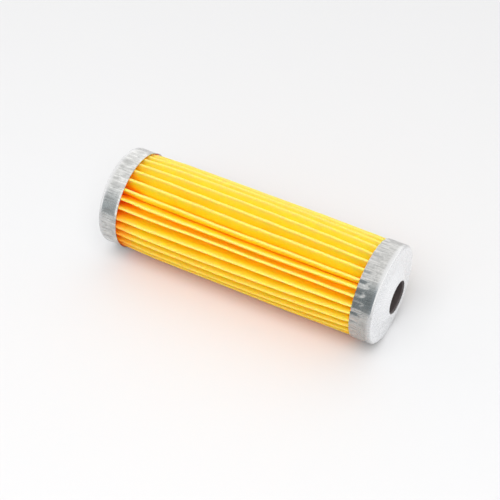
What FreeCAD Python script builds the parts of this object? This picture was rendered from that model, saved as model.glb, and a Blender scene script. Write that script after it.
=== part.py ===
"""Fuel filter cartridge: a star-folded paper pack on a slotted core, closed by two drawn end caps.

The cartridge lies on its side. +X runs along its axis to the outlet, +Z is up, and the origin is on
the surface it lies on, under the middle of its length. Sizes are in millimetres, radii not diameters.
"""
import FreeCAD, Part
import math
import os
import re

import Sketcher

SIZES = (
    ("cap_radius", 17.0, "largest radius of both end caps"),
    ("body_length", 100.4, "from the closed end's face to the outlet end's face, boss left out"),
    ("sheet_thickness", 0.3, "tinplate of the end caps"),
    ("corner_bend", 1.0, "outside bend between a cap's face and its wall"),
    ("outlet_cap_height", 7.3, "outlet cap's face to its open rim"),
    ("closed_cap_height", 7.0, "closed cap's face to its open rim"),
    ("lip_flare", 0.1, "how far the closed cap's rim is opened out"),
    ("lip_length", 0.8, "length of wall that the flare takes"),
    ("boss_height", 1.8, "raised boss around the outlet"),
    ("boss_clearance", 0.05, "inside of the boss's slope to the seal and the tube"),
    ("boss_flare", 1.4, "how much wider the boss is at its foot than at its top"),
    ("outlet_clearance", 0.3, "hole pierced through the boss to the seal's bore"),
    ("crimp_depth", 0.15, "depth of a crimp dent at the outlet cap's rim"),
    ("crimp_length", 3.2, "distance from the rim at which a dent has faded out"),
    ("tube_radius", 6.4, "outside of the centre tube"),
    ("tube_wall", 0.5, "wall of the centre tube"),
    ("tube_clearance", 0.1, "centre tube's bore to the dimple that centres it"),
    ("dimple_depth", 1.0, "depth of the closed cap's centring dimple"),
    ("dimple_draft", 0.3, "how much narrower the dimple is at its bottom"),
    ("slot_width", 3.0, "slots of the centre tube, around it"),
    ("slot_length", 6.5, "slots of the centre tube, along it"),
    ("slot_pitch", 11.0, "from one row of slots to the next"),
    ("slot_rows", 8, "rows of slots, every second one turned"),
    ("slots_around", 4, "slots in one row"),
    ("seal_wall", 0.9, "rubber seal between the tube's outside and the bore that grips the outlet spigot"),
    ("seal_length", 2.6, "rubber seal along the axis"),
    ("seal_chamfer", 0.3, "lead-in at the mouth of the seal's bore"),
    ("pleat_count", 31, "folds around the pack"),
    ("paper_thickness", 0.45, "filter paper"),
    ("fold_radius", 0.1, "inside radius of each fold"),
    ("crest_clearance", 0.05, "outer folds to the inside of the closed cap's wall"),
    ("root_clearance", 0.35, "centre tube to the inner folds"),
    ("adhesive_depth", 2.0, "potting compound on each cap's floor, which the paper's ends are bonded to"),
    ("seam_turn", 234.0, "degrees from the top of the pack to its seam, turning towards -Y"),
    ("clip_thickness", 0.3, "steel strip of the seam clip"),
    ("clip_reach", 4.5, "how far the clip's jaws reach down the two paper ends"),
)
SIZE_NAMES = re.compile(r"\b(" + "|".join(name for name, _, _ in SIZES) + r")\b")

# Places and fits that several pieces share, as formulas of the sheet's cells.
AXIS_HEIGHT = "cap_radius"
END = "((body_length + boss_height) / 2)"
CLOSED_WALL_RADIUS = "cap_radius - lip_flare"
CREST_RADIUS = CLOSED_WALL_RADIUS + " - sheet_thickness - crest_clearance"
ROOT_RADIUS = "tube_radius + root_clearance"
SEAL_BORE_RADIUS = "(tube_radius - seal_wall)"
BOSS_STEEPNESS = "(sqrt(boss_flare^2 + boss_height^2) - boss_flare) / boss_height"
SEAM_CUT_RADIUS = CREST_RADIUS + " - clip_thickness"
PAPER_START = f"-{END} + sheet_thickness + adhesive_depth"
PAPER_LENGTH = "body_length - 2 * (sheet_thickness + adhesive_depth)"

Vector = FreeCAD.Vector
Constraint = Sketcher.Constraint
START, FINISH, CENTRE = range(1, 4)  # the points of a sketch's line or arc
ACROSS, UPRIGHT = range(-1, -3, -1)  # a sketch's own two axes
ORIGIN = ACROSS  # a sketch's origin is the start of its axis across

doc = FreeCAD.newDocument("FuelFilterCartridge")


def make_sheet():
    """Write the driving sizes into a spreadsheet, one aliased cell each."""
    sheet = doc.addObject("Spreadsheet::Sheet", "Sizes")
    for row, (name, amount, meaning) in enumerate(SIZES, start=1):
        sheet.set(f"A{row}", meaning)
        sheet.set(f"B{row}", str(amount))
        sheet.setAlias(f"B{row}", name)
    doc.recompute()
    return sheet


sizes = make_sheet()


def in_cells(formula):
    """A formula with each size's name made into a reference to its cell."""
    return SIZE_NAMES.sub(r"Sizes.\1", formula)


def number(formula):
    """What a formula of sizes comes to now."""
    return float(sizes.evalExpression(in_cells(formula)))


def bind(item, prop, formula):
    """Tie a property to a formula of sizes."""
    item.setExpression(prop, in_cells(formula))


# ---------------------------------------------------------------- bodies, sketches, features

def new_body(name):
    body = doc.addObject("PartDesign::Body", name.title().replace("_", ""))
    body.Label = name
    return body


def place(item, station, flipped=False, turn="0"):
    """Put a piece on the cartridge's axis with its own start at a station; flipped, it looks back
    along the axis from there. The turn, in degrees, rolls it about the axis."""
    item.Placement = FreeCAD.Placement(Vector(), FreeCAD.Rotation(Vector(0, 0, 1), 180 if flipped else 0))
    if turn != "0":
        item.Placement.Rotation = FreeCAD.Rotation(Vector(1, 0, 0), number(turn))
    bind(item, "Placement.Base.x", station)
    bind(item, "Placement.Base.z", AXIS_HEIGHT)
    return item


def datum(body, role):
    """One of the body's own origin planes or axes."""
    return next(item for item in body.Origin.OriginFeatures if item.Role == role)


def new_sketch(body, name, role):
    sketch = body.newObject("Sketcher::SketchObject", name)
    sketch.AttachmentSupport = (datum(body, role), "")
    sketch.MapMode = "FlatFace"
    return sketch


def constrain(sketch, kind, *places, formula):
    """Add a dimension to a sketch and tie it to a formula of sizes."""
    index = sketch.addConstraint(Constraint(kind, *places, number(formula)))
    bind(sketch, f"Constraints[{index}]", formula)


def draw_profile(sketch, corners):
    """Draw a closed outline through corners given as (station, radius) formulas. The corners start
    on a rough ring, and each one's two dimensions bring it to its place."""
    count = len(corners)
    ring = [Vector(math.cos(math.tau * i / count), math.sin(math.tau * i / count), 0) for i in range(count)]
    for i in range(count):
        sketch.addGeometry(Part.LineSegment(ring[i], ring[(i + 1) % count]), False)
    for i, (station, radius) in enumerate(corners):
        sketch.addConstraint(Constraint("Coincident", i, FINISH, (i + 1) % count, START))
        for kind, axis, formula in (("DistanceX", UPRIGHT, station), ("DistanceY", ACROSS, radius)):
            if formula == "0":
                sketch.addConstraint(Constraint("PointOnObject", i, START, axis))
            else:
                constrain(sketch, kind, ORIGIN, START, i, START, formula=formula)


def draw_ring(sketch, *radii):
    """Draw circles about the sketch's origin."""
    for radius in radii:
        circle = sketch.addGeometry(Part.Circle(Vector(), Vector(0, 0, 1), 1.0), False)
        sketch.addConstraint(Constraint("Coincident", circle, CENTRE, ORIGIN, START))
        constrain(sketch, "Radius", circle, formula=radius)


def revolve(body, corners):
    """Turn an outline of (station, radius) corners about the body's own X axis."""
    sketch = new_sketch(body, "Profile", "XY_Plane")
    draw_profile(sketch, corners)
    solid = body.newObject("PartDesign::Revolution", "Turned")
    solid.Profile = sketch
    solid.ReferenceAxis = (sketch, ["H_Axis"])
    doc.recompute()
    return solid


def pad(body, sketch, length):
    solid = body.newObject("PartDesign::Pad", "Length")
    solid.Profile = sketch
    bind(solid, "Length", length)
    doc.recompute()
    return solid


def repeat(body, feature, *patterns):
    """Repeat a feature by patterns given as (type, {property: value}, {property: formula})."""
    several = body.newObject("PartDesign::MultiTransform", "Repeated")
    several.Originals = [feature]
    steps = []
    for kind, settings, formulas in patterns:
        step = body.newObject("PartDesign::" + kind, kind)
        for prop, setting in settings.items():
            setattr(step, prop, setting)
        for prop, formula in formulas.items():
            bind(step, prop, formula)
        steps.append(step)
    several.Transformations = steps
    body.Tip = several
    doc.recompute()
    return several


def around(body, count):
    """A pattern of count copies, a whole turn about the body's X axis."""
    return ("PolarPattern", {"Axis": (datum(body, "X_Axis"), [""]), "Angle": 360}, {"Occurrences": count})


def mirrored(body):
    """A pattern that adds the other half, across the body's upright plane."""
    return ("Mirrored", {"MirrorPlane": (datum(body, "XZ_Plane"), [""])}, {})


# ---------------------------------------------------------------- end caps

def bend(station, radius, size, hidden=False):
    """The corners that take a sharp one's place, for a bend of the given radius: the ends of its arc
    and, where it shows, the middle too. A negative size bends the other way."""
    middle = f"(1 - sqrt(0.5)) * ({size})"
    start = (station, f"{radius} - ({size})")
    halfway = (f"{station} + {middle}", f"{radius} - {middle}")
    end = (f"{station} + ({size})", radius)
    return (start, end) if hidden else (start, halfway, end)


def draw_cap(name, face):
    """Turn a cap out of its sheet. The function given lists the corners of the sheet's face that
    lies at a depth below its outside, from the middle to the rim; the bends of both faces share
    their centres."""
    body = new_body(name)
    revolve(body, (*face("0"), *reversed(face("sheet_thickness"))))
    return body


def closed_cap_face(depth):
    dimple_radius = "(tube_radius - tube_wall - tube_clearance - sheet_thickness)"
    wall = f"{CLOSED_WALL_RADIUS} - {depth}"
    hidden = depth != "0"
    return (
        (f"dimple_depth + {depth}", "0"),
        (f"dimple_depth + {depth}", f"{dimple_radius} - dimple_draft + {depth}"),
        (depth, f"{dimple_radius} + {depth}"),
        *bend(depth, wall, f"corner_bend - {depth}", hidden),
        ("closed_cap_height - lip_length", wall),
        ("closed_cap_height", f"cap_radius - {depth}"),
    )


def outlet_cap_face(depth):
    floor = f"boss_height + {depth}"
    boss_top = f"tube_radius + boss_clearance + (sheet_thickness - {depth}) * {BOSS_STEEPNESS}"
    return (
        (depth, f"{SEAL_BORE_RADIUS} + outlet_clearance"),
        (depth, boss_top),
        (floor, f"{boss_top} + boss_flare"),
        *bend(floor, f"cap_radius - {depth}", f"corner_bend - {depth}", hidden=depth != "0"),
        ("boss_height + outlet_cap_height", f"cap_radius - {depth}"),
    )


def make_closed_cap():
    """Plain drawn cup, flared at its rim, with a dimple in its floor that centres the tube."""
    return place(draw_cap("closed_cap", closed_cap_face), f"-{END}")


def make_outlet_cap():
    """Drawn cup with a sloped, pierced boss, crimped on to the pleats by a ring of dents at its rim."""
    body = draw_cap("outlet_cap", outlet_cap_face)
    crimp_rim(body)
    return place(body, END, flipped=True)


def crimp_rim(body):
    """Press one dent, deepest at the rim and half a pitch wide, and repeat it once for each pleat."""
    rim = "boss_height + outlet_cap_height"
    sketch = new_sketch(body, "DentProfile", "XY_Plane")
    draw_profile(sketch, (
        (f"{rim} - crimp_length", "cap_radius"),
        (rim, "cap_radius - crimp_depth"),
        (rim, "cap_radius + crimp_depth"),
        (f"{rim} - crimp_length", "cap_radius + crimp_depth"),
    ))
    dent = body.newObject("PartDesign::Groove", "Dent")
    dent.Profile = sketch
    dent.ReferenceAxis = (sketch, ["H_Axis"])
    dent.Midplane = True
    bind(dent, "Angle", "180 deg / pleat_count")
    doc.recompute()
    repeat(body, dent, around(body, "pleat_count"))


# ---------------------------------------------------------------- core

def make_centre_tube():
    """Slotted tube that holds the pleats apart from the clean side and carries the seal."""
    body = new_body("centre_tube")
    sketch = new_sketch(body, "Wall", "YZ_Plane")
    draw_ring(sketch, "tube_radius", "tube_radius - tube_wall")
    length = "body_length + boss_height - 2 * sheet_thickness - seal_length"
    pad(body, sketch, length)
    for rank in (0, 1):
        sketch = new_sketch(body, "Slot", "XY_Plane")
        half_step = FreeCAD.Rotation(Vector(1, 0, 0), rank * number("180 / slots_around"))
        sketch.AttachmentOffset = FreeCAD.Placement(Vector(), half_step)
        middle = f"({length} + ({2 * rank + 1} - slot_rows) * slot_pitch) / 2"
        start, end = (f"{middle} {sign} slot_length / 2" for sign in "-+")
        low, high = "-slot_width / 2", "slot_width / 2"
        draw_profile(sketch, ((start, low), (end, low), (end, high), (start, high)))
        slot = body.newObject("PartDesign::Pocket", "Punched")
        slot.Profile = sketch
        bind(slot, "Length", "tube_radius")
        doc.recompute()
        rows = ("LinearPattern", {"Direction": (datum(body, "X_Axis"), [""])},
                {"Length": "(slot_rows - 2) * slot_pitch", "Occurrences": "slot_rows / 2"})
        repeat(body, slot, rows, around(body, "slots_around"))
    return place(body, f"-{END} + sheet_thickness")


def make_outlet_seal():
    """Rubber ring held in the boss by the end of the tube."""
    body = new_body("outlet_seal")
    revolve(body, (
        ("0", f"{SEAL_BORE_RADIUS} + seal_chamfer"),
        ("0", "tube_radius"),
        ("seal_length", "tube_radius"),
        ("seal_length", SEAL_BORE_RADIUS),
        ("seal_chamfer", SEAL_BORE_RADIUS),
    ))
    return place(body, f"{END} - sheet_thickness", flipped=True)


# ---------------------------------------------------------------- pleats

def half_pleat():
    """The guides and the outline of half a pleat, seen along the axis with its outer fold at the top.

    The paper turns round a crest centre on the upright line and a root centre on the ray half a
    pitch away. Its flat is the crossing tangent of the two folds, so both faces of the sheet are
    tangent to their folds and the sheet keeps one thickness all the way.
    """
    half_pitch = math.pi / number("pleat_count")
    inside = number("fold_radius")
    outside = number("fold_radius + paper_thickness")
    root_reach = number(ROOT_RADIUS) + outside
    crest = Vector(0, number(CREST_RADIUS) - outside, 0)
    root = Vector(root_reach * math.sin(half_pitch), root_reach * math.cos(half_pitch), 0)
    run = root - crest
    square = math.atan2(run.y, run.x) + math.acos((inside + outside) / run.Length)
    inward = 1.5 * math.pi - half_pitch
    across = Vector(math.cos(square), math.sin(square), 0)
    to_axis = Vector(math.cos(inward), math.sin(inward), 0)

    def crest_fold(radius):
        return Part.ArcOfCircle(Part.Circle(crest, Vector(0, 0, 1), radius), square, math.pi / 2)

    def root_fold(radius):
        return Part.ArcOfCircle(Part.Circle(root, Vector(0, 0, 1), radius), square + math.pi, inward)

    guides = [
        crest_fold(outside),
        crest_fold(inside),
        root_fold(inside),
        root_fold(outside),
        Part.LineSegment(Vector(), root + to_axis * inside),
    ]
    outline = [
        Part.LineSegment(crest + Vector(0, inside, 0), crest + Vector(0, outside, 0)),
        Part.LineSegment(root + to_axis * inside, root + to_axis * outside),
        Part.LineSegment(crest + across * outside, root - across * inside),
        Part.LineSegment(crest + across * inside, root - across * outside),
    ]
    return guides, outline


def draw_half_pleat(sketch, guide_only=False):
    """Draw half a pleat and tie it to the sheet. The folds and the ray to the root are guides."""
    guides, outline = half_pleat()
    sketch.addGeometry(guides, True)
    sketch.addGeometry(outline, guide_only)
    crest_out, crest_in, root_out, root_in, ray, crest_end, root_end, flat_out, flat_in = range(9)
    for rule in (
        Constraint("Tangent", crest_out, START, flat_out, START),
        Constraint("Tangent", crest_in, START, flat_in, START),
        Constraint("Tangent", root_out, START, flat_out, FINISH),
        Constraint("Tangent", root_in, START, flat_in, FINISH),
        Constraint("Coincident", crest_out, FINISH, crest_end, FINISH),
        Constraint("Coincident", crest_in, FINISH, crest_end, START),
        Constraint("Coincident", root_out, FINISH, root_end, START),
        Constraint("Coincident", root_in, FINISH, root_end, FINISH),
        Constraint("Coincident", crest_out, CENTRE, crest_in, CENTRE),
        Constraint("Coincident", root_out, CENTRE, root_in, CENTRE),
        Constraint("PointOnObject", crest_out, CENTRE, UPRIGHT),
        Constraint("PointOnObject", crest_end, START, UPRIGHT),
        Constraint("PointOnObject", crest_end, FINISH, UPRIGHT),
        Constraint("Coincident", ray, START, ORIGIN, START),
        Constraint("Coincident", ray, FINISH, root_end, START),
        Constraint("PointOnObject", root_out, CENTRE, ray),
        Constraint("PointOnObject", root_end, FINISH, ray),
    ):
        sketch.addConstraint(rule)
    slope = sketch.addConstraint(Constraint("Angle", ray, math.pi / 2 - math.pi / number("pleat_count")))
    bind(sketch, f"Constraints[{slope}]", "90 deg - 180 deg / pleat_count")
    constrain(sketch, "Radius", crest_in, formula="fold_radius")
    constrain(sketch, "Radius", root_out, formula="fold_radius")
    constrain(sketch, "Distance", crest_end, formula="paper_thickness")
    constrain(sketch, "Distance", root_end, formula="paper_thickness")
    constrain(sketch, "DistanceY", ORIGIN, START, crest_end, FINISH, formula=CREST_RADIUS)
    constrain(sketch, "Distance", ORIGIN, START, root_end, FINISH, formula=ROOT_RADIUS)
    return {"outer": (crest_out, root_in), "inner": (crest_in, root_out), "flat": flat_out}


def crease(sketch, fold, chords):
    """Follow a fold's guide arc with equal chords, as stiff paper creases instead of rounding."""
    stops = sketch.Geometry[fold].discretize(chords + 1)
    first = sketch.GeometryCount
    for chord in range(first, first + chords):
        sketch.addGeometry(Part.LineSegment(stops[chord - first], stops[chord - first + 1]), False)
        if chord == first:
            sketch.addConstraint(Constraint("Coincident", chord, START, fold, START))
            continue
        sketch.addConstraint(Constraint("Coincident", chord, START, chord - 1, FINISH))
        sketch.addConstraint(Constraint("PointOnObject", chord, START, fold))
        sketch.addConstraint(Constraint("Equal", first, chord))
    sketch.addConstraint(Constraint("Coincident", chord, FINISH, fold, FINISH))


def make_pleat_pack():
    """The folded paper: half a pleat, mirrored and repeated. One crest is trimmed off, where the
    strip's two ends meet in the seam clip."""
    body = new_body("pleat_pack")
    sketch = new_sketch(body, "HalfPleat", "YZ_Plane")
    folds = draw_half_pleat(sketch)
    for fold in folds["outer"]:
        crease(sketch, fold, 2)
    for fold in folds["inner"]:
        crease(sketch, fold, 1)
    half = pad(body, sketch, PAPER_LENGTH)
    repeat(body, half, mirrored(body), around(body, "pleat_count"))
    trim = body.newObject("PartDesign::SubtractiveBox", "SeamTrim")
    trim.AttachmentSupport = (datum(body, "XY_Plane"), "")
    trim.MapMode = "FlatFace"
    bind(trim, "Length", PAPER_LENGTH)
    bind(trim, "Width", "2 * (fold_radius + paper_thickness)")
    bind(trim, "Height", "2 * clip_thickness")
    bind(trim, "AttachmentOffset.Base.y", "-(fold_radius + paper_thickness)")
    bind(trim, "AttachmentOffset.Base.z", SEAM_CUT_RADIUS)
    doc.recompute()
    return place(body, PAPER_START, turn="seam_turn")


def make_seam_clip():
    """Folded steel strip that closes the trimmed pleat: its jaws lie on the outside of the paper."""
    body = new_body("seam_clip")
    sketch = new_sketch(body, "HalfClip", "YZ_Plane")
    flat = draw_half_pleat(sketch, guide_only=True)["flat"]
    paper = sketch.Geometry[flat]
    down = (paper.EndPoint - paper.StartPoint).normalize()
    across = Vector(-down.y, down.x, 0) * number("clip_thickness")
    rise = Vector(0, number("clip_thickness"), 0)
    jaw_top = paper.StartPoint
    jaw_end = jaw_top + down * number("clip_reach")
    middle = Vector(0, jaw_top.y, 0)
    corners = (middle, middle + rise, jaw_top + rise + across, jaw_end + across, jaw_end, jaw_top)
    first = sketch.GeometryCount
    fold, back, outer_jaw, jaw_tip, inner_jaw, seat = sides = range(first, first + 6)
    for corner, following in zip(corners, corners[1:] + corners[:1]):
        sketch.addGeometry(Part.LineSegment(corner, following), False)
    for side in sides:
        following = side + 1 if side in sides[:-1] else fold
        sketch.addConstraint(Constraint("Coincident", side, FINISH, following, START))
    for rule in (
        Constraint("PointOnObject", fold, START, UPRIGHT),
        Constraint("PointOnObject", fold, FINISH, UPRIGHT),
        Constraint("Horizontal", back),
        Constraint("Horizontal", seat),
        Constraint("PointOnObject", inner_jaw, START, flat),
        Constraint("PointOnObject", inner_jaw, FINISH, flat),
        Constraint("Parallel", outer_jaw, inner_jaw),
        Constraint("Perpendicular", jaw_tip, inner_jaw),
    ):
        sketch.addConstraint(rule)
    constrain(sketch, "DistanceY", ORIGIN, START, fold, START, formula=SEAM_CUT_RADIUS)
    constrain(sketch, "Distance", fold, formula="clip_thickness")
    constrain(sketch, "Distance", jaw_tip, formula="clip_thickness")
    constrain(sketch, "Distance", inner_jaw, formula="clip_reach")
    half = pad(body, sketch, PAPER_LENGTH)
    repeat(body, half, mirrored(body))
    return place(body, PAPER_START, turn="seam_turn")


# ---------------------------------------------------------------- potting

def make_adhesive(name, wall_radius):
    """Bed of potting compound on the floor of a cap, between the cap's wall and the tube."""
    body = new_body(name)
    revolve(body, (
        ("0", "tube_radius"),
        *bend("0", f"{wall_radius} - sheet_thickness", "corner_bend - sheet_thickness", hidden=True),
        ("adhesive_depth", f"{wall_radius} - sheet_thickness"),
        ("adhesive_depth", "tube_radius"),
    ))
    return body


# ---------------------------------------------------------------- the cartridge

def check(piece):
    """Stop if a piece isn't one valid solid."""
    shape = piece.Shape
    if shape.isNull() or not shape.isValid() or len(shape.Solids) != 1:
        raise RuntimeError(f"{piece.Label} is not one valid solid")


def main():
    pieces = (
        make_closed_cap(),
        make_outlet_cap(),
        make_centre_tube(),
        make_outlet_seal(),
        make_pleat_pack(),
        make_seam_clip(),
        place(make_adhesive("closed_adhesive", CLOSED_WALL_RADIUS), f"-{END} + sheet_thickness"),
        place(make_adhesive("outlet_adhesive", "cap_radius"),
              f"{END} - boss_height - sheet_thickness", flipped=True),
    )
    doc.recompute()
    for item in doc.Objects:
        if {"Invalid", "Error"} & set(item.State):
            raise RuntimeError(f"{item.Label} failed: {item.State}")
    os.makedirs("parts", exist_ok=True)
    for piece in pieces:
        check(piece)
        piece.Shape.exportStep(f"parts/{piece.Label}.step")
        box = piece.Shape.optimalBoundingBox()
        print(f"{piece.Label:16s} {piece.Shape.Volume:9.1f} mm3  faces {len(piece.Shape.Faces):4d}  "
              f"x {box.XMin:7.2f}..{box.XMax:6.2f}  y {box.YMin:7.2f}..{box.YMax:6.2f}  "
              f"z {box.ZMin:6.2f}..{box.ZMax:6.2f}")


main()
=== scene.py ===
# %% [markdown]
# # A fuel filter cartridge
# The part is a small screw-bowl fuel filter: a strip of yellow filter paper folded into a star, a
# slotted steel tube inside it, and a drawn tinplate cap on each end. It lies on its side on a white
# table. The solid model, made elsewhere, gives every place and size. This lesson dresses it: the
# folded paper and the two caps get finer meshes, and everything that can be seen gets a finish.

# %% Load the solid model
import math

import bmesh
import bpy
import numpy as np
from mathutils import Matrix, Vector


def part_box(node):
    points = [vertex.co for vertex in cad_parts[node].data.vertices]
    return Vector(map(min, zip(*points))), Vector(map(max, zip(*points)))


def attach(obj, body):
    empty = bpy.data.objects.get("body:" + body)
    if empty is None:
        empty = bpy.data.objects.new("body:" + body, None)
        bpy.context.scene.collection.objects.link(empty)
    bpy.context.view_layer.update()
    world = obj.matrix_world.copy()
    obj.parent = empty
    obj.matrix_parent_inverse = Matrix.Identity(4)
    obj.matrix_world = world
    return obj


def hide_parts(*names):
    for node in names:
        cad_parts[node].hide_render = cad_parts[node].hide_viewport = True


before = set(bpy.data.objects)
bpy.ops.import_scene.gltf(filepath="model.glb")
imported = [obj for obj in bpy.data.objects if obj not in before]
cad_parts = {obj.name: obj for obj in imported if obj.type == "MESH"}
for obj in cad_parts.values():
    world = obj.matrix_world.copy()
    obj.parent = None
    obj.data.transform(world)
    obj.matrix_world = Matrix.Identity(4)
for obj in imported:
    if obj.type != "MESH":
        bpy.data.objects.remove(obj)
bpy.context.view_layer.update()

print("pieces of the solid model:", sorted(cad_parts))

# %% [markdown]
# ## Where things are
# All the new meshes are turned or folded around one line, the cartridge's own axis. It runs along X
# at the height of half a cap. Reading that line and the ends of the pieces from the solid model,
# and not typing them again, keeps the new meshes in step with it.

# %% Find the axis and the ends
MM = 0.001
closed_low, closed_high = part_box("closed_cap")
outlet_low, outlet_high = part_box("outlet_cap")
paper_low, paper_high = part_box("pleat_pack")
axis_height = (outlet_low.z + outlet_high.z) / 2
cap_radius = (outlet_high.z - outlet_low.z) / 2
print(f"axis {axis_height / MM:.1f} mm up, cap radius {cap_radius / MM:.1f} mm, "
      f"paper from {paper_low.x / MM:.1f} to {paper_high.x / MM:.1f} mm")

# %% [markdown]
# ## From arrays to meshes
# Both the folded paper and the caps are long strips of four-sided faces: rows of points, where
# each row is a closed ring. NumPy can work out all the points at once, and one helper then makes a
# Blender mesh of them. Bmesh sorts out which way the faces look, so no ring has to be wound with care.

# %% Make a mesh from rings of points
def mesh_from_rings(name, rings, faces):
    """A smooth-shaded object from an array of points and a list of faces, welded and facing outwards."""
    mesh = bpy.data.meshes.new(name)
    mesh.from_pydata(rings.reshape(-1, 3).tolist(), [], faces)
    piece = bpy.data.objects.new(name, mesh)
    bpy.context.scene.collection.objects.link(piece)
    bm = bmesh.new()
    bm.from_mesh(mesh)
    bmesh.ops.remove_doubles(bm, verts=bm.verts, dist=0.002 * MM)
    bmesh.ops.recalc_face_normals(bm, faces=bm.faces)
    bm.to_mesh(mesh)
    bm.free()
    mesh.shade_smooth()
    mesh.set_sharp_from_angle(angle=math.radians(50))
    print(f"{name}: {len(mesh.vertices)} points, {len(mesh.polygons)} faces")
    return piece


def ring_faces(rows, columns, first=0, closed_rows=False):
    """The four-sided faces between neighbouring rows, where each row is a closed ring."""
    row = np.arange(rows if closed_rows else rows - 1)[:, None]
    column = np.arange(columns)[None, :]
    own, after = row * columns, (row + 1) % rows * columns
    beside = (column + 1) % columns
    corners = [own + column, own + beside, after + beside, after + column]
    return (np.stack(corners, -1).reshape(-1, 4) + first).tolist()


print("a tube of 2 rings with 3 points each has", len(ring_faces(2, 3)), "faces")

# %% [markdown]
# ## Where the paper folds
# A machine folds the strip evenly, but a worker then bends it into a star and pushes it into the
# caps by hand. So the outer folds stand a little unevenly, they wander round the axis on their way
# from cap to cap, and they bulge between the caps that hold them in. The eleven folds at the front
# are given to half a degree: at the closed cap's rim, half way along and at the outlet
# cap's rim. The ones around the back are spaced evenly up to the seam, which a steel clip holds
# straight. Angles are counted from the top, towards the front.

# %% Place the outer folds
PLEATS = 31
SEAM = 234.0
front_folds = np.array([
    [-13.5, -2.0, 9.5, 22.0, 35.5, 47.5, 59.0, 73.0, 85.0, 95.5, 109.0],
    [-15.0, -1.5, 11.5, 24.0, 37.0, 48.5, 57.5, 71.0, 84.5, 95.5, 109.5],
    [-10.0, 2.5, 14.0, 24.5, 37.0, 46.5, 57.0, 69.0, 78.5, 90.0, 100.0]])
TO_SEAM = 11
PAST_SEAM = PLEATS - front_folds.shape[1] - TO_SEAM
to_seam = np.linspace(front_folds[:, -1], SEAM, TO_SEAM + 1, axis=1)[:, 1:]
past_seam = np.linspace(SEAM, 360 + front_folds[:, 0], PAST_SEAM + 2, axis=1)[:, 1:-1]
fold_angles = np.radians(np.hstack([front_folds, to_seam, past_seam]))
seam_fold = front_folds.shape[1] + TO_SEAM - 1
print(fold_angles.shape[1], "outer folds; the seam is fold", seam_fold)

# %% [markdown]
# A plain curve through each fold's three places carries it from cap to cap. Small waves, different
# for each fold, are added from a seeded generator, so the paper looks handled and still comes out
# the same every time.

# %% Let the folds wander, bulge and wave
CREST_REACH, CREST_BULGE, SEAM_REACH = 16.48 * MM, 0.38 * MM, 16.2 * MM
waves = np.random.default_rng(7)
stations = np.linspace(paper_low.x, paper_high.x, 97)
mouth_closed, mouth_outlet = closed_high.x, outlet_low.x


def smooth(value, start, end):
    """0 before start, 1 after end, and an even curve between them."""
    part = np.clip((value - start) / (end - start), 0, 1)
    return part * part * (3 - 2 * part)


def wavy(size, lengths):
    """Waves along the paper, one set for each fold, as an array of stations by folds."""
    total = np.zeros((len(stations), PLEATS))
    for length in lengths:
        phase = waves.uniform(0, math.tau, PLEATS)
        stretch = waves.uniform(0.8, 1.25, PLEATS)
        total += np.sin(math.tau * stations[:, None] / (length * stretch) + phase) / len(lengths)
    total[:, seam_fold] = 0
    return size * total


rim_to_rim = mouth_outlet - mouth_closed
way = np.clip((stations - mouth_closed) / rim_to_rim, -0.02, 1.02)
crest_angle = (np.vander(way, 3) @ np.polyfit((0.0, 0.5, 1.0), fold_angles, 2)
               + np.radians(wavy(0.28, (45 * MM, 45 * MM, 12 * MM))))

bulge = (smooth(stations, mouth_closed - 1.0 * MM, mouth_closed + 13 * MM)
         * (1 - 0.45 * smooth(stations, mouth_outlet - 26 * MM, mouth_outlet - 3 * MM))
         * (1 - smooth(stations, mouth_outlet - 3.5 * MM, mouth_outlet + 0.8 * MM)))
ripple = wavy(0.025 * MM, (30 * MM, 9 * MM))
crest_reach = CREST_REACH + CREST_BULGE * bulge[:, None] + ripple * bulge[:, None]
crest_reach[:, seam_fold] = SEAM_REACH
print(f"folds reach {crest_reach.max() / MM:.2f} mm from the axis, caps {cap_radius / MM:.2f} mm")

# %% [markdown]
# ## Folding the strip
# The paper could be drawn as a zigzag, but a zigzag has no thickness and its folds are too sharp.
# Here it runs like a belt over small rollers instead: over a roller at each outer fold, straight
# down, under a roller at each inner fold and up again. The inner folds lie on the tube, but two on
# the front stand off it a little.

# %% Place the rollers
SHEET = 0.34 * MM
ROLLER = 0.25 * MM
INNER_REACH = 6.85 * MM


def at(angle, radius):
    """A point across the axis as (towards the front, up), or an array of them."""
    return np.stack([radius * np.sin(angle), radius * np.cos(angle)], -1)


next_crest = np.roll(crest_angle, -1, axis=1)
next_crest[:, -1] += math.tau
root_angle = (crest_angle + next_crest) / 2
root_reach = np.full(PLEATS, INNER_REACH + ROLLER + SHEET / 2)
root_reach[4:6] += 2.2 * MM, 1.0 * MM
crest_roller = at(crest_angle, crest_reach - ROLLER - SHEET / 2)
root_roller = at(root_angle, root_reach + wavy(0.15 * MM, (40 * MM,)))
print(f"{2 * PLEATS} rollers, {2 * ROLLER / MM:.1f} mm thick, for a sheet of {SHEET / MM:.2f} mm")

# %% [markdown]
# ## Running the belt
# The straight run between two such rollers is their crossing tangent, and a short sum gives its
# direction. Between two runs the belt lies on a roller. Every point of its line also gets the
# direction straight across the sheet, which is needed to give the paper its thickness.

# %% Run the belt over its rollers
FOLD_STEPS, ROOT_STEPS = 9, 6


def turned(direction, angle):
    """A direction, or an array of them, turned by an angle."""
    cosine, sine = np.cos(angle), np.sin(angle)
    x, y = direction[..., 0], direction[..., 1]
    return np.stack([x * cosine - y * sine, x * sine + y * cosine], -1)


def run_direction(start, end, side):
    """The unit direction of the crossing tangent between two rollers."""
    gap = end - start
    span = np.linalg.norm(gap, axis=-1)
    return turned(gap / span[..., None], side * np.arcsin(2 * ROLLER / span))


def heading(direction):
    """The angle at which a direction points."""
    return np.arctan2(direction[..., 1], direction[..., 0])


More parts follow.
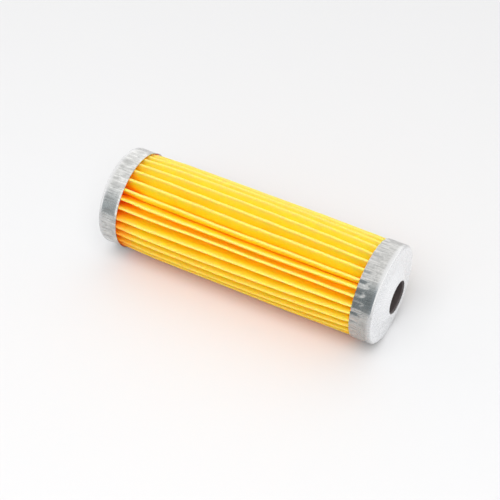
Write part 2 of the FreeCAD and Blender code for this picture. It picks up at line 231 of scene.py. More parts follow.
def wrap(centre, start, end, steps, side):
    """Points and outward directions where the belt lies on a roller; side is -1 over it, 1 under it."""
    sweep = side * ((side * (end - start)) % math.tau)
    angle = start[..., None] + sweep[..., None] * np.linspace(0, 1, steps) + math.pi / 2
    out = np.stack([np.cos(angle), np.sin(angle)], -1)
    return centre[..., None, :] - side * ROLLER * out, out


going_down = run_direction(crest_roller, root_roller, -1)
going_up = run_direction(root_roller, np.roll(crest_roller, -1, axis=1), 1)
up_before = np.roll(heading(going_up), 1, axis=1)
crest_line, crest_out = wrap(crest_roller, up_before, heading(going_down), FOLD_STEPS, -1)
root_line, root_out = wrap(root_roller, heading(going_down), heading(going_up), ROOT_STEPS, 1)
print("belt led over", crest_line.shape[1], "outer and", root_line.shape[1], "inner rollers, at",
      len(stations), "stations")

# %% [markdown]
# ## Bowing the flats
# The runs between the folds are never flat. The pack was rolled up as it was pushed into the caps,
# so all the runs bow the same way round, and one looks on to a curved flank and not into the bottom
# of a pleat. Two pleats on the front have found their own shape. The runs in the seam clip are held
# straight, and the ones pinched by the caps nearly so. The square of a sine over the run gives the
# bow, and its size drifts along the pack.

# %% Bow the flats
FLAT_STOPS = np.array([0.03, 0.1, 0.2, 0.32, 0.44, 0.56, 0.68, 0.8, 0.9])
DRIFT, DRIFT_LENGTHS = 0.12 * MM, (60 * MM, 60 * MM, 20 * MM)


def flat_run(start, end, direction, stops, bow):
    """Points and outward directions along a slightly bowed run of the belt."""
    out = turned(direction, math.pi / 2)[..., None, :]
    line = start[..., None, :] + (end - start)[..., None, :] * stops[:, None]
    rise = bow[..., None] * np.sin(math.pi * stops) ** 2
    return line + out * rise[..., None], np.broadcast_to(out, line.shape)


bow_down, bow_up = np.full((2, PLEATS), 0.75 * MM)
bow_down[3:5] = 1.2 * MM, 0.5 * MM
bow_up[3:5] = 0.5 * MM, -0.1 * MM
from_seam = np.abs((np.degrees(root_angle) - SEAM + 180) % 360 - 180)
free_of_caps = (1 - 0.65 * (1 - smooth(stations, mouth_closed, mouth_closed + 8 * MM))
                - 0.25 * smooth(stations, mouth_outlet - 5 * MM, mouth_outlet))
loose = smooth(from_seam, 8, 50) * free_of_caps[:, None]
drift_down = wavy(DRIFT, DRIFT_LENGTHS)
drift_up = wavy(DRIFT, DRIFT_LENGTHS)
down_line, down_out = flat_run(
    crest_line[..., -1, :], root_line[..., 0, :], going_down, FLAT_STOPS,
    loose * (bow_down + drift_down))
up_line, up_out = flat_run(
    root_line[..., -1, :], np.roll(crest_line, -1, axis=1)[..., 0, :], going_up, 1 - FLAT_STOPS[::-1],
    loose * (drift_up - bow_up))
print(f"runs bow by up to {bow_down.max() / MM:.1f} mm, give or take {DRIFT / MM:.2f} mm")

# %% [markdown]
# ## The sheet
# Set end to end, the folds and runs make one closed ring at each station. Moved half a thickness
# to either side, the ring gives the two faces of the sheet. A rim of faces joins them at both ends
# of the strip, so the paper has real edges there.

# %% Build the paper
belt = np.concatenate([crest_line, down_line, root_line, up_line], axis=2).reshape(len(stations), -1, 2)
out = np.concatenate([crest_out, down_out, root_out, up_out], axis=2).reshape(len(stations), -1, 2)
rows, around = belt.shape[:2]
sheet_sides = []
for side in (1, -1):
    front, up = np.moveaxis(belt + side * SHEET / 2 * out, -1, 0)
    along = np.broadcast_to(stations[:, None], front.shape)
    sheet_sides.append(np.stack([along, -front, up + axis_height], -1))
faces = ring_faces(rows, around) + ring_faces(rows, around, first=rows * around)
for row in (0, rows - 1):
    edge = row * around + np.arange(around)
    ahead = row * around + (np.arange(around) + 1) % around
    faces += np.stack([edge, ahead, ahead + rows * around, edge + rows * around], -1).tolist()
paper = mesh_from_rings("folded_paper", np.stack(sheet_sides), faces)

# %% [markdown]
# ## Finding the folds again
# The paper's finish paints a highlight on the outer folds and has to find them. So each
# point of the mesh keeps a number: 1 on an outer fold, and fading out beside it.

# %% Mark the folds for the paper's finish
FADE = (0.6, 0.3, 0.1)
marks = np.zeros(around // PLEATS)
marks[:FOLD_STEPS] = 1
marks[FOLD_STEPS:FOLD_STEPS + len(FADE)] = FADE
marks[-len(FADE):] = FADE[::-1]
on_fold = np.tile(marks, (2, rows, PLEATS))
assert len(paper.data.vertices) == on_fold.size, "welding must not have joined any of the paper's points"
paper.data.attributes.new("on_fold", "FLOAT", "POINT").data.foreach_set("value", on_fold.ravel())
print("points on outer folds:", int((on_fold == 1).sum()))

# %% [markdown]
# ## Turning sheet metal
# A drawn cap is the same all round, so it can be made as a potter makes a bowl: draw the cut
# through one side and spin it. Real sheet can't have sharp corners. A small function rounds the
# drawn corners, each with its own bend, and puts extra points on the long runs, so that dents can
# be pressed into them.

# %% Round a drawn line's corners
def rounded(corners, step=0.45 * MM, arc_steps=6):
    """Points along a line of (station, radius, bend) corners, in millimetres, with its bends rounded."""
    path = np.array(corners, float)[:, :2] * MM
    stops = [path[0]]
    for i in range(1, len(path) - 1):
        before, after = path[i - 1] - path[i], path[i + 1] - path[i]
        before, after = before / np.linalg.norm(before), after / np.linalg.norm(after)
        half = math.acos(float(np.clip(before @ after, -1, 1))) / 2
        bend = corners[i][2] * MM
        if bend == 0 or math.pi / 2 - half < 0.01:
            stops.append(path[i])
            continue
        centre = path[i] + (before + after) / np.linalg.norm(before + after) * bend / math.sin(half)
        first = path[i] + before * bend / math.tan(half) - centre
        last = path[i] + after * bend / math.tan(half) - centre
        for share in np.linspace(0, 1, arc_steps + 1):
            spoke = first * (1 - share) + last * share
            stops.append(centre + spoke / np.linalg.norm(spoke) * bend)
    stops.append(path[-1])
    dense = [stops[0]]
    for start, end in zip(stops, stops[1:]):
        pieces = max(1, math.ceil(np.linalg.norm(end - start) / step))
        dense += [start + (end - start) * k / pieces for k in range(1, pieces + 1)]
    return np.array(dense)


print("a corner of two 5 mm runs takes", len(rounded([(0, 0, 0), (0, 5, 1), (5, 5, 0)])), "points")

# %% [markdown]
# ## Spinning a cap
# The cut is a closed line: along the outside of the sheet and back along its inside. Spun about
# the axis it gives rings of points, which are first pushed in wherever a tool or a hand has pressed
# the wall. The inside of the wall is smeared with potting compound, so its faces get a finish of
# their own. A second function gives the few long waves that any handled wall has.

# %% Spin a cut into a cap
SIDES = PLEATS * 16
FILM_BEYOND = 14 * MM
WALL_FROM, WALL_FULL = 15.6 * MM, 16.4 * MM


def spin(name, outside, inside, place_x, looks, press):
    """Turn the cut between an outside and an inside line about the axis. press gives how much each
    point is pushed towards the axis, from its distance to the cap's face, its angle and its radius."""
    cut = np.concatenate([rounded(outside), rounded(inside)[::-1]])
    angle = np.arange(SIDES) * math.tau / SIDES
    station, radius = cut[:, 0][:, None], cut[:, 1][:, None]
    radius = radius - press(station, angle[None, :], radius)
    x = np.broadcast_to(place_x + looks * station, radius.shape)
    rings = np.stack([x, -radius * np.sin(angle), axis_height + radius * np.cos(angle)], -1)
    closed_rows = outside[0][1] > 0
    cap = mesh_from_rings(name, rings, ring_faces(len(cut), SIDES, closed_rows=closed_rows))
    inner = 0
    for face in cap.data.polygons:
        spoke = face.center - Vector((face.center.x, 0, axis_height))
        if spoke.length > FILM_BEYOND and face.normal.dot(spoke) < 0:
            face.material_index = 1
            inner += 1
    print(f"{name}: {inner} faces line the inside of the wall")
    return cap


def unevenness(station, angle, seed, size):
    """A few long waves around and along a hand-finished wall."""
    ripples = np.random.default_rng(seed)
    total = np.zeros(np.broadcast(station, angle).shape)
    for turns in (3, 5, 8, 13):
        phase = ripples.uniform(0, 6)
        slant = ripples.uniform(-0.5, 0.5)
        total = total + np.sin(turns * angle + phase + station / MM * slant) / turns
    return size * (1 + total / 2) / 2


print(f"a cap is spun in {SIDES} steps")

# %% [markdown]
# ## The dents of the outlet cap
# When the paper is in, a tool with one finger for each pleat presses short dents into the outlet
# cap's open rim, between the folds underneath. No two are quite alike, so their places and sizes
# are drawn by lot, from a seeded generator.

# %% Draw lots for the dents
dents = np.random.default_rng(19)
between_folds = root_angle[np.searchsorted(stations, mouth_outlet)]
dent_angle = between_folds + np.radians(dents.uniform(-1.4, 0.2, PLEATS))
dent_length = dents.uniform(2.6, 4.1, PLEATS) * MM
dent_depth = dents.uniform(0.17, 0.30, PLEATS) * MM
dent_width = np.radians(dents.uniform(3.4, 4.9, PLEATS))
dent_skew = dents.uniform(-0.35, 0.35, PLEATS)
print(f"{PLEATS} dents, {dent_depth.min() / MM:.2f} to {dent_depth.max() / MM:.2f} mm deep")

# %% [markdown]
# ## The outlet cap
# Its face rises to a low boss with a shallow slope around the outlet. The dents in its wall are
# real ones in the mesh, because they change the shape of the rim and catch the light. Each has two
# flat flanks with a crease between them, keeps its depth for most of its length and then ends at
# once. The cut is drawn in millimetres. Its reach and depth are measured on the solid cap and
# rounded to a thousandth of a millimetre.

# %% Press the dents and turn the outlet cap
TIN = 0.3
BOSS_RISE, BOSS_TOP, BOSS_FOOT, HOLE = 1.8, 6.6, 10.2, 5.8
cap_reach = round(cap_radius / MM, 3)
outlet_depth = round((outlet_high.x - outlet_low.x) / MM, 3)


def crimped(station, angle, radius):
    """How far the outlet cap's wall is pressed in."""
    on_wall = smooth(radius, WALL_FROM, WALL_FULL)
    push = unevenness(station, angle, 3, 0.05 * MM) * on_wall
    from_rim = outlet_depth * MM - station
    for centre, length, depth, width, skew in zip(
            dent_angle, dent_length, dent_depth, dent_width, dent_skew):
        off = ((angle - centre + math.pi) % math.tau - math.pi) / width
        to_crease = (off - skew) / np.where(off < skew, 1 + skew, 1 - skew)
        ragged = length * (1 - 0.12 * np.sin(5 * off + 40 * centre))
        fade = 1 - smooth(from_rim / ragged, 0.62, 1.0)
        push = push + on_wall * depth * fade * np.clip(1 - np.abs(to_crease), 0, 1)
    return push


outlet_cap = spin(
    "outlet_cap_shell",
    [(0, HOLE, 0), (0, BOSS_TOP, 0.9), (BOSS_RISE, BOSS_FOOT, 3.0),
     (BOSS_RISE, cap_reach, 1.0), (outlet_depth, cap_reach, 0)],
    [(TIN, HOLE, 0), (TIN, BOSS_TOP - 0.1, 0.6), (BOSS_RISE + TIN, BOSS_FOOT - 0.1, 3.3),
     (BOSS_RISE + TIN, cap_reach - TIN, 0.7), (outlet_depth, cap_reach - TIN, 0)],
    outlet_high.x, -1, crimped)

# %% [markdown]
# ## The closed cap
# The other cap is plain. Its rim is opened out a hair so that the paper slides in without tearing,
# and that narrow lip shines. A shallow dimple in its floor keeps the tube in the middle. Its wall
# has no dents, only the long waves of a drawn cup that has been gripped, and they fade out before
# the lip.

# %% Turn the closed cap
DIMPLE_DEPTH, DIMPLE_FLOOR, DIMPLE_RIM = 1.0, 5.2, 5.5
LIP, LIP_OUT, LIP_TIN = 0.7, 0.1, 0.28
closed_depth = round((closed_high.x - closed_low.x) / MM, 3)
closed_reach = cap_reach - LIP_OUT


def handled(station, angle, radius):
    """How far the closed cap's wall is pressed in."""
    on_wall = smooth(radius, WALL_FROM, WALL_FULL)
    near_rim = smooth(station, (closed_depth - 1) * MM, closed_depth * MM)
    return unevenness(station, angle, 11, 0.07 * MM) * on_wall * (1 - near_rim)


closed_cap = spin(
    "closed_cap_shell",
    [(DIMPLE_DEPTH, 0, 0), (DIMPLE_DEPTH, DIMPLE_FLOOR, 0.3), (0, DIMPLE_RIM, 0.3),
     (0, closed_reach, 1.0), (closed_depth - LIP, closed_reach, 1.5), (closed_depth, cap_reach, 0)],
    [(DIMPLE_DEPTH + TIN, 0, 0), (DIMPLE_DEPTH + TIN, DIMPLE_FLOOR + TIN, 0.2),
     (TIN, DIMPLE_RIM + TIN, 0.2), (TIN, closed_reach - TIN, 0.7),
     (closed_depth - LIP, closed_reach - TIN, 1.5), (closed_depth, cap_reach - LIP_TIN, 0)],
    closed_low.x, 1, handled)

# %% [markdown]
# ## Working with finishes
# Each finish is a small program of nodes. A few helpers keep the cells short. The main one adds a
# node and fills in its sockets, with values or with links. Three more do the commonest steps: a
# sum, a change of range, and a mix of two colours.

# %% Helpers for nodes
def feed(tree, value, socket):
    """Give a socket its value, or link it from another node's output."""
    if isinstance(value, bpy.types.NodeSocket):
        tree.links.new(value, socket)
    else:
        socket.default_value = value


def add(tree, kind, settings=None, **sockets):
    """Add a node. Sockets go by their names, with _ for a blank, or by number, as in _0."""
    node = tree.nodes.new("ShaderNode" + kind)
    for name, value in (settings or {}).items():
        setattr(node, name, value)
    for name, value in sockets.items():
        by_number = name[0] == "_" and name[1:].isdigit()
        feed(tree, value, node.inputs[int(name[1:]) if by_number else name.replace("_", " ")])
    return node


def calculate(tree, operation, *values):
    """A Math node's result."""
    numbered = {f"_{i}": value for i, value in enumerate(values)}
    return add(tree, "Math", {"operation": operation}, **numbered).outputs[0]


def stretched(tree, value, low, high, to_low=0.0, to_high=1.0, curve="LINEAR"):
    """A value mapped from one range to another, and held inside it."""
    node = add(tree, "MapRange", {"interpolation_type": curve}, Value=value, From_Min=low,
               From_Max=high, To_Min=to_low, To_Max=to_high)
    return node.outputs["Result"]


def mixed(tree, share, first, second, blend="MIX"):
    """A colour between two, each a constant or another node's colour."""
    node = add(tree, "Mix", {"data_type": "RGBA", "blend_type": blend}, Factor=share)
    for index, colour in ((6, first), (7, second)):
        linked = isinstance(colour, bpy.types.NodeSocket)
        feed(tree, colour if linked else (*colour, 1), node.inputs[index])
    return node.outputs[2]


print("helpers for nodes ready")

# %% [markdown]
# ## Groups and surfaces
# A node group is a piece of such a program that several finishes share, with named sockets going in
# and coming out. One helper starts a group, and one puts it to use with a finish's own values. The
# last two start a finish and link what every finish here has: a colour, a roughness and a bump.

# %% Helpers for groups and finishes
def new_group(name, inputs, outputs):
    """Start a node group; inputs are given with their usual values."""
    group = bpy.data.node_groups.new(name, "ShaderNodeTree")
    for label, value in inputs.items():
        socket = group.interface.new_socket(name=label, in_out="INPUT", socket_type="NodeSocketFloat")
        socket.default_value = value
    for label in outputs:
        group.interface.new_socket(name=label, in_out="OUTPUT", socket_type="NodeSocketFloat")
    return group, group.nodes.new("NodeGroupInput").outputs, group.nodes.new("NodeGroupOutput").inputs


def use(tree, group, **sockets):
    """Place a group in a finish, with this finish's own values."""
    return add(tree, "Group", {"node_tree": group}, **sockets).outputs


def new_finish(name):
    """An empty material with its main shader; gives the material, its tree and the shader."""
    material = bpy.data.materials.new(name)
    material.use_nodes = True
    return material, material.node_tree, material.node_tree.nodes["Principled BSDF"]


def give_surface(tree, shader, colour, roughness, height, strength, distance):
    """Link a finish's colour and roughness, and the height of its bump."""
    tree.links.new(colour, shader.inputs["Base Color"])
    tree.links.new(roughness, shader.inputs["Roughness"])
    bump = add(tree, "Bump", Strength=strength, Distance=distance, Height=height)
    tree.links.new(bump.outputs[0], shader.inputs["Normal"])


print("helpers for groups and finishes ready")

# %% [markdown]
# ## Places measured around the axis
# Marks on a drawn cap run along its wall and out across its face, so their pattern has to be laid
# around the axis and not in plain X, Y and Z. This group turns a point of the object into its
# place along the axis, its angle and its distance from the axis.

# %% Group: place around the axis
axis_group, given, result = new_group(
    "Around the axis", {"Axis Height": axis_height}, ("Along", "Angle", "Radius"))
spot = add(axis_group, "SeparateXYZ", Vector=add(axis_group, "TexCoord").outputs["Object"]).outputs
rise = calculate(axis_group, "SUBTRACT", spot["Z"], given["Axis Height"])
axis_group.links.new(spot["X"], result["Along"])
axis_group.links.new(calculate(axis_group, "ARCTAN2", spot["Y"], rise), result["Angle"])
squares = calculate(axis_group, "ADD", calculate(axis_group, "MULTIPLY", spot["Y"], spot["Y"]),
                    calculate(axis_group, "MULTIPLY", rise, rise))
axis_group.links.new(calculate(axis_group, "SQRT", squares), result["Radius"])
print("group:", axis_group.name)

# %% [markdown]
# ## Drawing marks
# Pulled through a die, tinplate keeps fine lines in the direction of the pull. They are noise that
# is stretched a lot one way. The group is given how closely the lines lie around the axis, along it
# and outwards, and puts out a height for the bump and the same pattern as a mask.

# %% Group: streaks
streak_group, given, result = new_group(
    "Streaks", {"Per Turn": 400.0, "Per Metre Along": 60.0, "Per Metre Out": 60.0, "Contrast": 1.0},
    ("Height", "Mask"))
place = use(streak_group, axis_group)
spread = add(streak_group, "CombineXYZ",
             X=calculate(streak_group, "MULTIPLY", place["Angle"],
                         calculate(streak_group, "DIVIDE", given["Per Turn"], math.tau)),
             Y=calculate(streak_group, "MULTIPLY", place["Along"], given["Per Metre Along"]),
             Z=calculate(streak_group, "MULTIPLY", place["Radius"], given["Per Metre Out"]))
lines = add(streak_group, "TexNoise", Vector=spread.outputs[0], Scale=1.0, Detail=4.0, Roughness=0.65)
streak_group.links.new(lines.outputs["Fac"], result["Height"])
centred = calculate(streak_group, "SUBTRACT", lines.outputs["Fac"], 0.5)
centred = calculate(streak_group, "MULTIPLY", centred, given["Contrast"])
mask = add(streak_group, "Clamp", Value=calculate(streak_group, "ADD", centred, 0.5))
streak_group.links.new(mask.outputs[0], result["Mask"])
print("group:", streak_group.name)

# %% [markdown]
# ## Scuffs and mottling
# Handled metal is never evenly clean. Broad cloudy patches change its sheen, and here and there a
# harder rub has left a mark. One noise makes the clouds, and a second, finer one, of which only the
# peaks are kept, makes the rubs.

# %% Group: scuffs
scuff_group, given, result = new_group(
    "Scuffs", {"Cloud Scale": 250.0, "Rub Scale": 900.0, "Rub Threshold": 0.62},
    ("Clouds", "Rubs"))
spot = add(scuff_group, "TexCoord").outputs["Object"]
clouds = add(scuff_group, "TexNoise", Vector=spot, Scale=given["Cloud Scale"], Detail=5.0,
             Roughness=0.6, Distortion=0.6)
scuff_group.links.new(clouds.outputs["Fac"], result["Clouds"])
longer = add(scuff_group, "Mapping", Vector=spot, Scale=(0.45, 1.0, 1.0))
rubs = add(scuff_group, "TexNoise", Vector=longer.outputs[0], Scale=given["Rub Scale"], Detail=3.0,
           Roughness=0.7)
peaks = stretched(scuff_group, rubs.outputs["Fac"], given["Rub Threshold"], 0.85, curve="SMOOTHSTEP")
scuff_group.links.new(peaks, result["Rubs"])
print("group:", scuff_group.name)

# %% [markdown]
# ## Grain
# Paper, rubber and cured compound all have a fine even tooth. The group gives a fine noise for the
# bump, drawn out across a slant, and a coarser one for uneven colour, each with its own scale.

# %% Group: grain
grain_group, given, result = new_group(
    "Grain", {"Tooth Scale": 3000.0, "Patch Scale": 200.0, "Slant": 0.0},
    ("Tooth", "Patches"))
spot = add(grain_group, "TexCoord").outputs["Object"]
tilt = add(grain_group, "VectorRotate", {"rotation_type": "X_AXIS"}, Vector=spot, Angle=given["Slant"])
slanted = add(grain_group, "VectorRotate", {"rotation_type": "Z_AXIS"}, Vector=tilt.outputs[0],
              Angle=given["Slant"])
squeeze = add(grain_group, "Mapping", Vector=slanted.outputs[0], Scale=(1.0, 0.3, 1.0))
tooth = add(grain_group, "TexNoise", Vector=squeeze.outputs[0], Scale=given["Tooth Scale"],
            Detail=3.0, Roughness=0.6)
patches = add(grain_group, "TexNoise", Vector=spot, Scale=given["Patch Scale"], Detail=4.0,
              Roughness=0.55)
grain_group.links.new(tooth.outputs["Fac"], result["Tooth"])
grain_group.links.new(patches.outputs["Fac"], result["Patches"])
print("group:", grain_group.name)

# %% [markdown]
# ## Filter paper
# The paper is soaked in a yellow resin and baked. Light goes into a pleat, bounces between its two
# walls and picks up the yellow each time, so the valleys turn orange by themselves, if the base
# colour is right: almost all of the red comes back, about three quarters of the green and very
# little blue. Light and shade are also painted into the colour. The outer folds are painted paler, a
# painted highlight along the crests. The yellow is painted deeper towards the underside, painted
# shade, and deeper still on the hidden underside, so that the light it throws on the table is orange.
# Beside the closed cap the paper is painted orange, the cap's painted shadow, less at the top than
# lower down.

# %% Finish: filter paper
paper_finish, tree, shader = new_finish("filter_paper_resin")
grain = use(tree, grain_group, Tooth_Scale=2600.0, Patch_Scale=130.0, Slant=0.7)
fold = add(tree, "Attribute", {"attribute_name": "on_fold"}).outputs["Fac"]
patches = stretched(tree, grain["Patches"], 0.3, 0.7)
sheet_colour = mixed(tree, patches, (1.0, 0.73, 0.016), (1.0, 0.785, 0.028))
# Painted highlight: the outer folds are mixed towards a paler yellow.
paper_colour_and_shading = mixed(tree, calculate(tree, "MULTIPLY", fold, 0.7), sheet_colour, (1.0, 0.70, 0.22))
place = add(tree, "SeparateXYZ", Vector=add(tree, "TexCoord").outputs["Object"]).outputs


def lower(start, end):
    """How far down the paper lies between two heights, in millimetres above the axis."""
    return stretched(tree, place["Z"], axis_height + start * MM, axis_height + end * MM)


# Painted shadow of the closed cap: orange on the paper within 7 mm of its rim, more lower down.
cap_shadow = stretched(tree, place["X"], mouth_closed + 7 * MM, mouth_closed)
# Painted shade: the yellow is deepened towards the underside, and deeper still on the hidden underside so
# that the light it throws on the table is orange.
for share, tint in (
    (lower(7, -5), (1.0, 0.88, 0.55)),
    (lower(-6, -13), (1.0, 0.96, 0.40)),
    # Painted shadow of the closed cap.
    (calculate(tree, "MULTIPLY", cap_shadow, lower(15, 0)), (1.0, 0.56, 0.26)),
):
    paper_colour_and_shading = mixed(tree, share, paper_colour_and_shading, tint, "MULTIPLY")
roughness = stretched(tree, grain["Tooth"], 0.3, 0.7, 0.55, 0.75)
give_surface(tree, shader, paper_colour_and_shading, roughness, grain["Tooth"], 0.35, 0.05 * MM)
shader.inputs["Specular IOR Level"].default_value = 0.35
shader.inputs["Subsurface Weight"].default_value = 0.85
shader.inputs["Subsurface Radius"].default_value = (1.0, 0.4, 0.06)
shader.inputs["Subsurface Scale"].default_value = 1.0 * MM
print("finish:", paper_finish.name)

# %% [markdown]
# ## Tinplate
# Both caps are drawn from the same tinplate, so one function makes their finishes, with its own
# marks for each. The sheet is a soft mirror: it shows the white table, the bright tent and the
# dark opening between them as blurred bands. The face keeps the bright tin of the flat sheet. The
# wall has been dragged through the die, which leaves it greyer, mottled and finely scored. Next to
# the bend between them the wall is painted lighter and plain, a painted highlight along the corner,
# and the face's bright tone reaches most of the way round the corner too.

# %% Finish: tinplate
# BEND_HIGHLIGHT is a painted highlight: a plain lighter tone on the wall next to the bend. FACE_ENDS and
# WALL_STARTS let the face's bright tone run out over most of the rounded corner, painted highlight too.
BEND_HIGHLIGHT = (0.60, 0.60, 0.60)
BEND_WIDTH = 0.9 * MM
FACE_ENDS, WALL_STARTS = 16.1 * MM, 16.8 * MM


def tinplate(name, face, wall, per_turn, cloud_scale, rubs_at, relief, blur, bend_highlight_from=1.0):
    """Satin tinplate. face and wall are pairs of a light and a dark tone, relief is the strength of
    the bump, blur the least and the most roughness. bend_highlight_from is how far out along the axis
    the wall's marks reach before they give way to a painted highlight, a lighter plain tone along the bend."""
    material, tree, shader = new_finish(name)
    streaks = use(tree, streak_group, Per_Turn=per_turn, Per_Metre_Along=110.0, Per_Metre_Out=120.0,
                  Contrast=1.8)
    marks = use(tree, scuff_group, Cloud_Scale=cloud_scale, Rub_Scale=1100.0, Rub_Threshold=rubs_at)
    place = use(tree, axis_group)
    from_middle = calculate(tree, "ABSOLUTE", place["Along"])
    on_bend_highlight = stretched(tree, from_middle, bend_highlight_from, bend_highlight_from + BEND_WIDTH)
    on_wall = stretched(tree, place["Radius"], FACE_ENDS, WALL_STARTS)
    blend = calculate(tree, "ADD", calculate(tree, "MULTIPLY", streaks["Mask"], 0.5),
                      calculate(tree, "MULTIPLY", marks["Clouds"], 0.5))
    tone = stretched(tree, blend, 0.40, 0.60)
    # Next to the bend the wall's tone gives way to the painted highlight.
    wall_tone = mixed(tree, on_bend_highlight, mixed(tree, tone, wall[1], wall[0]), BEND_HIGHLIGHT)
    sheet = mixed(tree, on_wall, mixed(tree, tone, face[1], face[0]), wall_tone)
    rubbed = calculate(tree, "MULTIPLY", marks["Rubs"], stretched(tree, on_wall, 0.0, 1.0, 0.15, 0.7))
    height = calculate(tree, "ADD", calculate(tree, "MULTIPLY", streaks["Height"], 0.7), marks["Clouds"])
    height = calculate(tree, "MULTIPLY", height, stretched(tree, on_wall, 0.0, 1.0, 0.35, 1.0))
    give_surface(tree, shader, mixed(tree, rubbed, sheet, [0.5 * c for c in wall[1]]),
                 stretched(tree, blend, 0.3, 0.7, blur[1], blur[0]), height, relief, 0.06 * MM)
    shader.inputs["Metallic"].default_value = 1.0
    print("finish:", name)
    return material


outlet_finish = tinplate(
    "outlet_tinplate_crimped", face=((0.895, 0.90, 0.91), (0.865, 0.87, 0.88)),
    wall=((0.545, 0.54, 0.525), (0.36, 0.36, 0.35)), bend_highlight_from=outlet_high.x - 3.6 * MM,
    per_turn=210.0, cloud_scale=1300.0, rubs_at=0.60, relief=0.45, blur=(0.22, 0.34))
closed_finish = tinplate(
    "closed_tinplate_plain", face=((0.94, 0.94, 0.95), (0.84, 0.84, 0.85)),
    wall=((0.65, 0.65, 0.635), (0.42, 0.42, 0.41)), bend_highlight_from=-closed_low.x - 1.9 * MM,
    per_turn=150.0, cloud_scale=420.0, rubs_at=0.55, relief=0.30, blur=(0.21, 0.33))

# %% [markdown]
# ## The metal inside
# The slotted tube is plain steel that has been oiled and has browned. The seam clip on the underside
# is a strip of the same kind of tinplate as the caps, rubbed flat by the folding tool. They have no
# face and wall, so both pairs of tones are the same.

# %% Finish: tube and clip
oiled = ((0.55, 0.49, 0.46), (0.36, 0.31, 0.29))
core_finish = tinplate("core_steel_oiled", face=oiled, wall=oiled, per_turn=260.0, cloud_scale=300.0,
                       rubs_at=0.58, relief=0.4, blur=(0.35, 0.55))
folded = ((0.70, 0.70, 0.71), (0.50, 0.50, 0.51))
clip_finish = tinplate("clip_steel_folded", face=folded, wall=folded, per_turn=700.0, cloud_scale=500.0,
                       rubs_at=0.60, relief=0.4, blur=(0.28, 0.45))

# %% [markdown]
# ## Rubber and potting
# The seal is moulded rubber, nearly black with a brown cast and a faint bloom. The potting
# compound that glues the paper into the caps has cured to a glossy amber brown, and a thin film of
# it, which is lighter, coats the inside of their walls. All three are plain materials with a
# grain, so they share one function too.

# %% Finish: rubber and compound
def moulded(name, light, dark, tooth, patch, blur, strength):
    """A moulded or poured finish: two tones in patches and a fine tooth."""
    material, tree, shader = new_finish(name)
    grain = use(tree, grain_group, Tooth_Scale=tooth, Patch_Scale=patch, Slant=0.3)
    give_surface(tree, shader, mixed(tree, grain["Patches"], dark, light),
                 stretched(tree, grain["Patches"], 0.0, 1.0, *blur), grain["Tooth"], strength, 0.03 * MM)
    print("finish:", name)
    return material


rubber_finish = moulded(
    "seal_rubber_brown_black", (0.115, 0.092, 0.09), (0.04, 0.033, 0.033),
    tooth=4000.0, patch=500.0, blur=(0.35, 0.6), strength=0.3)
potting_finish = moulded(
    "potting_amber", (0.90, 0.50, 0.12), (0.72, 0.36, 0.06),
    tooth=1500.0, patch=160.0, blur=(0.2, 0.4), strength=0.3)
film_finish = moulded(
    "potting_film", (1.0, 0.64, 0.14), (0.96, 0.52, 0.07),
    tooth=1800.0, patch=300.0, blur=(0.3, 0.5), strength=0.2)

# %% [markdown]
# ## Putting it together
# Each new mesh takes its finishes, takes the place of its solid and moves with the part's one body.
# The five solids whose shape is right already stay and only get a finish.

# %% Dress the part
for piece, node, slot, finishes in (
    (paper, "pleat_pack", "filter_paper", (paper_finish,)),
    (outlet_cap, "outlet_cap", "outlet_cap_tinplate", (outlet_finish, film_finish)),
    (closed_cap, "closed_cap", "closed_cap_tinplate", (closed_finish, film_finish)),
):
    for finish in finishes:
        piece.data.materials.append(finish)
    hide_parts(node)
    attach(piece, "root")
for node, finish in (
    ("centre_tube", core_finish),
    ("outlet_seal", rubber_finish),
    ("seam_clip", clip_finish),
    ("closed_adhesive", potting_finish),
    ("outlet_adhesive", potting_finish),
):
    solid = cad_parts[node]
    solid.data.materials.clear()
    solid.data.materials.append(finish)
    print("kept solid:", node, "in", finish.name)

# %% [markdown]
# ## The table
# A white table top, slightly glossy, with hardly visible unevenness. It fills the view, but it is
# shallow: the caps mirror its edges. The near edge ends the dark band low on their walls, and
# beyond the far edge the bright tent shows along the top of them.

# %% Lay the table
TABLE_LENGTH, TABLE_IN_FRONT, TABLE_BEHIND = 3.0, 0.15, 0.32
table_mesh = bpy.data.meshes.new("table_top")
bm = bmesh.new()
bmesh.ops.create_grid(bm, x_segments=8, y_segments=4, size=1.0)
half_size = (TABLE_LENGTH / 2, (TABLE_IN_FRONT + TABLE_BEHIND) / 2, 1)
bmesh.ops.scale(bm, verts=bm.verts, vec=half_size)
bmesh.ops.translate(bm, verts=bm.verts, vec=(0, (TABLE_BEHIND - TABLE_IN_FRONT) / 2, 0))
bm.to_mesh(table_mesh)
bm.free()
table_top = bpy.data.objects.new("table_top", table_mesh)
bpy.context.scene.collection.objects.link(table_top)
table_finish, tree, shader = new_finish("table_white")
grain = use(tree, grain_group, Tooth_Scale=900.0, Patch_Scale=6.0, Slant=0.0)
tone = mixed(tree, grain["Patches"], (0.755, 0.755, 0.76), (0.77, 0.77, 0.775))
tree.links.new(tone, shader.inputs["Base Color"])
shader.inputs["Roughness"].default_value = 0.7
shader.inputs["Specular IOR Level"].default_value = 0.2
table_mesh.materials.append(table_finish)
print("table top:", tuple(round(d, 2) for d in table_top.dimensions))

# %% [markdown]
# ## The room
# Polished metal looks like what is around it, so the room is designed for the caps. It is a small
# light tent, bright all round, with an opening on the side where the person with the lamp stands.
# The opening is darker and a little bluish, and reaches to a little over head height. It is what
# draws the dark band along each cap. The tent is worked out from the direction in which it is
# seen: a share of 1 means straight into the opening.

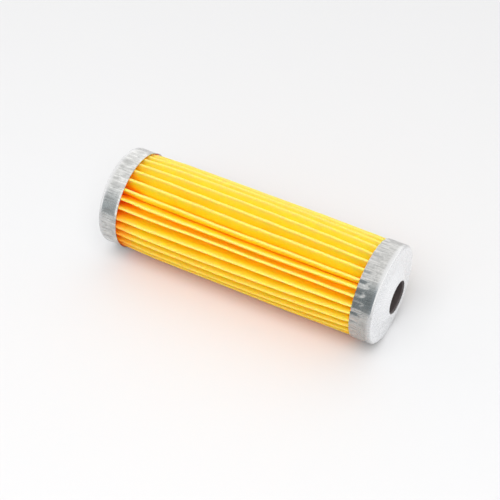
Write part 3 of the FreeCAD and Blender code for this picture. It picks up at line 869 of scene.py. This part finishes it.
# %% Cut the opening into the tent
world = bpy.data.worlds.new("light_tent")
bpy.context.scene.world = world
world.use_nodes = True
tree = world.node_tree
tree.nodes.clear()
OPENING = Vector((-0.05, -1, 0)).normalized()
OPENING_TONE, OPENING_COLOUR = 0.27, (0.84, 1.0, 1.08)
WHITE = (1.0, 1.0, 1.0)
sight = add(tree, "TexCoord").outputs["Generated"]
compass = add(tree, "SeparateXYZ", Vector=sight).outputs


def total(first, second):
    """The sum of two products, each given as a pair."""
    return calculate(tree, "ADD", calculate(tree, "MULTIPLY", *first), calculate(tree, "MULTIPLY", *second))


def eased(value, start, end, low=0.0, high=1.0):
    """A value mapped from one range to another, with soft ends."""
    return stretched(tree, value, start, end, low, high, "SMOOTHSTEP")


towards = total((compass["X"], OPENING.x), (compass["Y"], OPENING.y))
level = calculate(tree, "SQRT", total((compass["X"], compass["X"]), (compass["Y"], compass["Y"])))
facing = calculate(tree, "DIVIDE", towards, calculate(tree, "MAXIMUM", level, 0.001))
opening = calculate(tree, "MULTIPLY", eased(facing, 0.86, 0.925), eased(compass["Z"], 0.60, 0.94, 1.0, 0.0))
print("the opening faces", tuple(round(c, 2) for c in OPENING))

# %% [markdown]
# ## Three skies
# The metal, the paper and the eye each need another sky. What a surface mirrors is the tent with
# its opening. What it scatters comes from a softer sky, dim near the table's height and brighter
# overhead, and from strong light below, which comes up past the table's edges. The eye itself sees
# a plain pale wall.

# %% Light the room
tent = eased(compass["Z"], 0.0, 0.6, 1.6, 1.35)
around_opening = calculate(tree, "SUBTRACT", 1.0, opening)
mirrored = add(tree, "Background", Strength=total((tent, around_opening), (opening, OPENING_TONE)))
tree.links.new(mixed(tree, opening, WHITE, OPENING_COLOUR), mirrored.inputs["Color"])
from_above = eased(compass["Z"], 0.0, 0.6, 0.09, 0.86)
from_below = eased(compass["Z"], -0.03, 0.0, 2.6, 0.0)
fill = add(tree, "Background", Strength=calculate(tree, "ADD", from_above, from_below), Color=(*WHITE, 1))
pale_wall = add(tree, "Background", Strength=0.94, Color=(*WHITE, 1))
ray = add(tree, "LightPath").outputs
unseen = add(tree, "MixShader", _0=ray["Is Glossy Ray"], _1=fill.outputs[0], _2=mirrored.outputs[0])
seen = add(tree, "MixShader", _0=ray["Is Camera Ray"], _1=unseen.outputs[0], _2=pale_wall.outputs[0])
tree.links.new(seen.outputs[0], add(tree, "OutputWorld").inputs["Surface"])
bpy.context.scene.view_settings.view_transform = "Standard"
bpy.context.scene.cycles.max_bounces = 32
bpy.context.scene.cycles.diffuse_bounces = 28
print("light may bounce", bpy.context.scene.cycles.diffuse_bounces, "times between the pleats")

# %% [markdown]
# ## The lamp
# A softbox hangs in front of the opening, above the cartridge's front. It gives the folds their
# bright edges and the cartridge a faint shadow behind. It is hidden from mirrored rays, because the
# metal would otherwise show it as a white patch.

# %% Hang the softbox
LAMP_PLACE = Vector((0.10, -0.43, 0.84))
softbox = bpy.data.lights.new("softbox", "AREA")
softbox.shape = "RECTANGLE"
softbox.size, softbox.size_y = 0.9, 0.7
softbox.energy = 5.7
lamp = bpy.data.objects.new("softbox", softbox)
lamp.location = LAMP_PLACE
lamp.rotation_euler = (-LAMP_PLACE).to_track_quat("-Z", "Y").to_euler()
lamp.visible_glossy = False
bpy.context.scene.collection.objects.link(lamp)
print("softbox", softbox.energy, "W at", tuple(round(c, 2) for c in lamp.location))

# %% [markdown]
# ## The camera
# A long lens from half a metre away, looking down at the cartridge from the front and a little from
# the outlet's side. It looks at a point close to the middle of the axis.

# %% Place the camera
LENS, SENSOR = 108.8, 36.0
STAND = Vector((163.5, -309.9, 358.6)) * MM
TILT, TURN = math.radians(44.07), math.radians(28.01)
camera = bpy.data.cameras.new("camera")
camera.lens, camera.sensor_width = LENS, SENSOR
eye = bpy.data.objects.new("camera", camera)
eye.location = Vector((-0.9 * MM, 0, axis_height)) + STAND
eye.rotation_euler = (TILT, 0, TURN)
bpy.context.scene.collection.objects.link(eye)
bpy.context.scene.camera = eye
print(f"camera {STAND.length:.2f} m from the cartridge")
